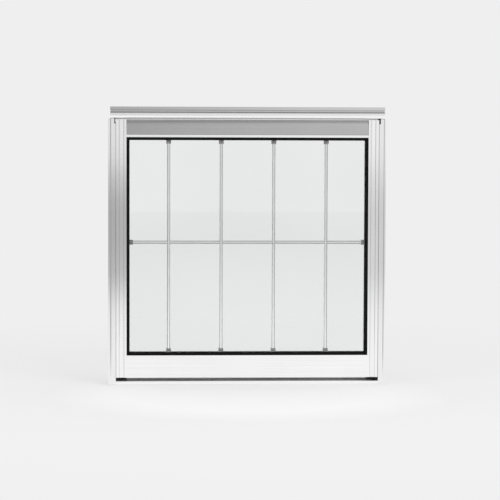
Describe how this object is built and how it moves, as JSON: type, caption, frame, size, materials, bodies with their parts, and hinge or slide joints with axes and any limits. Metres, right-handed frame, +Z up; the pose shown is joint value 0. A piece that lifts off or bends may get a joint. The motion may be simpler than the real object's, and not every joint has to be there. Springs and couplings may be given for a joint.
{
  "type": "crank-operated projecting window",
  "caption": "Square aluminium window: a glazed sash with muntin bars whose lower edge is pushed outwards by a crank operator on the sill, hung on sliding shoes and side arms.",
  "frame": {"origin": "middle of the sill's underside, in the plane of the outdoor face of the jambs and stiles; it is claimed through the left jamb's fixing holes", "axes": "+X along the sill to the right seen from outdoors, +Y into the room, +Z up"},
  "size_m": [0.75, 0.1323, 0.75],
  "materials": {
    "frame_metal": "clear anodised extrusion",
    "sash_metal": "clear anodised extrusion",
    "bead_metal": "clear anodised extrusion",
    "muntin_metal": "satin",
    "clip_plastic": "moulded",
    "spacer_metal": "mill",
    "gasket_rubber": "smooth",
    "seal_rubber": "smooth",
    "tape_rubber": "smooth",
    "pane_glass": "clear",
    "plug_plastic": "moulded",
    "shoe_plastic": "moulded",
    "arm_steel": "plated",
    "track_steel": "plated",
    "screw_steel": "plated",
    "gear_steel": "plated",
    "bush_brass": "turned",
    "cover_metal": "satin",
    "crank_metal": "satin",
    "knob_plastic": "moulded"
  },
  "bodies": {
    "frame": {"jamb_left": "frame_metal", "jamb_right": "frame_metal", "head_rail": "frame_metal", "head_end_caps": "frame_metal", "sill_rail": "frame_metal", "frame_screws": "screw_steel", "weatherstrip_head": "seal_rubber", "weatherstrip_sill": "seal_rubber", "weatherstrip_jambs": "seal_rubber", "track_left": "track_steel", "track_right": "track_steel", "track_rivets": "screw_steel", "support_studs": "arm_steel", "operator_base": "gear_steel", "worm_bush": "bush_brass", "operator_cover": "cover_metal", "operator_screws": "screw_steel", "gear_posts": "gear_steel"},
    "sash": {"stile_left": "sash_metal", "stile_right": "sash_metal", "top_rail": "sash_metal", "bottom_rail": "sash_metal", "gasket_left": "gasket_rubber", "gasket_right": "gasket_rubber", "gasket_top": "gasket_rubber", "gasket_bottom": "gasket_rubber", "bead_left": "bead_metal", "bead_right": "bead_metal", "bead_top": "bead_metal", "bead_bottom": "bead_metal", "glazing_tape": "tape_rubber", "outer_pane": "pane_glass", "inner_pane": "pane_glass", "spacer_frame": "spacer_metal", "setting_blocks": "plug_plastic", "muntin_upright_1": "muntin_metal", "muntin_upright_2": "muntin_metal", "muntin_upright_3": "muntin_metal", "muntin_upright_4": "muntin_metal", "muntin_crossbar": "muntin_metal", "muntin_clips": "clip_plastic", "sash_screws": "screw_steel", "end_plugs": "plug_plastic", "sash_pivots": "arm_steel", "sash_bracket": "gear_steel", "bracket_screws": "screw_steel"},
    "support_arm_left": {"support_arm_left": "arm_steel"},
    "support_arm_right": {"support_arm_right": "arm_steel"},
    "shoe_left": {"shoe_left": "shoe_plastic"},
    "shoe_right": {"shoe_right": "shoe_plastic"},
    "swivel": {"swivel_block": "gear_steel"},
    "gear_arm_left": {"gear_arm_left": "gear_steel"},
    "gear_arm_right": {"gear_arm_right": "gear_steel"},
    "link_left": {"link_left": "gear_steel"},
    "link_right": {"link_right": "gear_steel"},
    "crank": {"worm_shaft": "gear_steel", "crank_handle": "crank_metal", "crank_fasteners": "screw_steel"},
    "knob": {"knob": "knob_plastic"}
  },
  "joints": [
    {"name": "support_arm_left_hinge", "type": "hinge", "parent": "frame", "child": "support_arm_left", "pos_m": [-0.349, 0.028, 0.1228], "axis": [1, 0, 0], "range_deg": [0, 26]},
    {"name": "sash_hinge", "type": "hinge", "parent": "support_arm_left", "child": "sash", "pos_m": [-0.349, 0.028, 0.4139], "axis": [-1, 0, 0], "range_deg": [0, 52]},
    {"name": "support_arm_right_hinge", "type": "hinge", "parent": "frame", "child": "support_arm_right", "pos_m": [0.349, 0.028, 0.1228], "axis": [1, 0, 0], "range_deg": [0, 26]},
    {"name": "shoe_left_pivot", "type": "hinge", "parent": "sash", "child": "shoe_left", "pos_m": [-0.36, 0.028, 0.705], "axis": [1, 0, 0], "range_deg": [0, 26]},
    {"name": "shoe_right_pivot", "type": "hinge", "parent": "sash", "child": "shoe_right", "pos_m": [0.36, 0.028, 0.705], "axis": [1, 0, 0], "range_deg": [0, 26]},
    {"name": "swivel_pivot", "type": "hinge", "parent": "sash", "child": "swivel", "pos_m": [0, 0.047, 0.0405], "axis": [1, 0, 0], "range_deg": [0, 26]},
    {"name": "gear_arm_right_hinge", "type": "hinge", "parent": "frame", "child": "gear_arm_right", "pos_m": [0.028, 0.066, 0.047], "axis": [0, 0, -1], "range_deg": [0, 29.53]},
    {"name": "link_right_hinge", "type": "hinge", "parent": "gear_arm_right", "child": "link_right", "pos_m": [0.32787, 0.0571, 0.05], "axis": [0, 0, 1], "range_deg": [0, 59.07]},
    {"name": "gear_arm_left_hinge", "type": "hinge", "parent": "frame", "child": "gear_arm_left", "pos_m": [-0.028, 0.066, 0.047], "axis": [0, 0, 1], "range_deg": [0, 29.53]},
    {"name": "link_left_hinge", "type": "hinge", "parent": "gear_arm_left", "child": "link_left", "pos_m": [-0.32787, 0.0571, 0.05], "axis": [0, 0, -1], "range_deg": [0, 59.07]},
    {"name": "crank_hinge", "type": "hinge", "parent": "frame", "child": "crank", "pos_m": [0, 0.09, 0.047], "axis": [0, -1, 0], "range_deg": [0, 1004.28]},
    {"name": "knob_spin", "type": "hinge", "parent": "crank", "child": "knob", "pos_m": [0.05, 0.11, 0.047], "axis": [0, 1, 0], "continuous": true}
  ],
  "couplings": [
    {"joint": "sash_hinge", "follows": "support_arm_left_hinge", "ratio": 2},
    {"joint": "support_arm_right_hinge", "follows": "support_arm_left_hinge", "ratio": 1},
    {"joint": "shoe_left_pivot", "follows": "support_arm_left_hinge", "ratio": 1},
    {"joint": "shoe_right_pivot", "follows": "support_arm_left_hinge", "ratio": 1},
    {"joint": "swivel_pivot", "follows": "support_arm_left_hinge", "ratio": 1},
    {"joint": "gear_arm_right_hinge", "follows": "support_arm_left_hinge", "ratio": 1.1355},
    {"joint": "link_right_hinge", "follows": "support_arm_left_hinge", "ratio": 2.271},
    {"joint": "gear_arm_left_hinge", "follows": "support_arm_left_hinge", "ratio": 1.1355},
    {"joint": "link_left_hinge", "follows": "support_arm_left_hinge", "ratio": 2.271},
    {"joint": "crank_hinge", "follows": "support_arm_left_hinge", "ratio": 38.607}
  ]
}
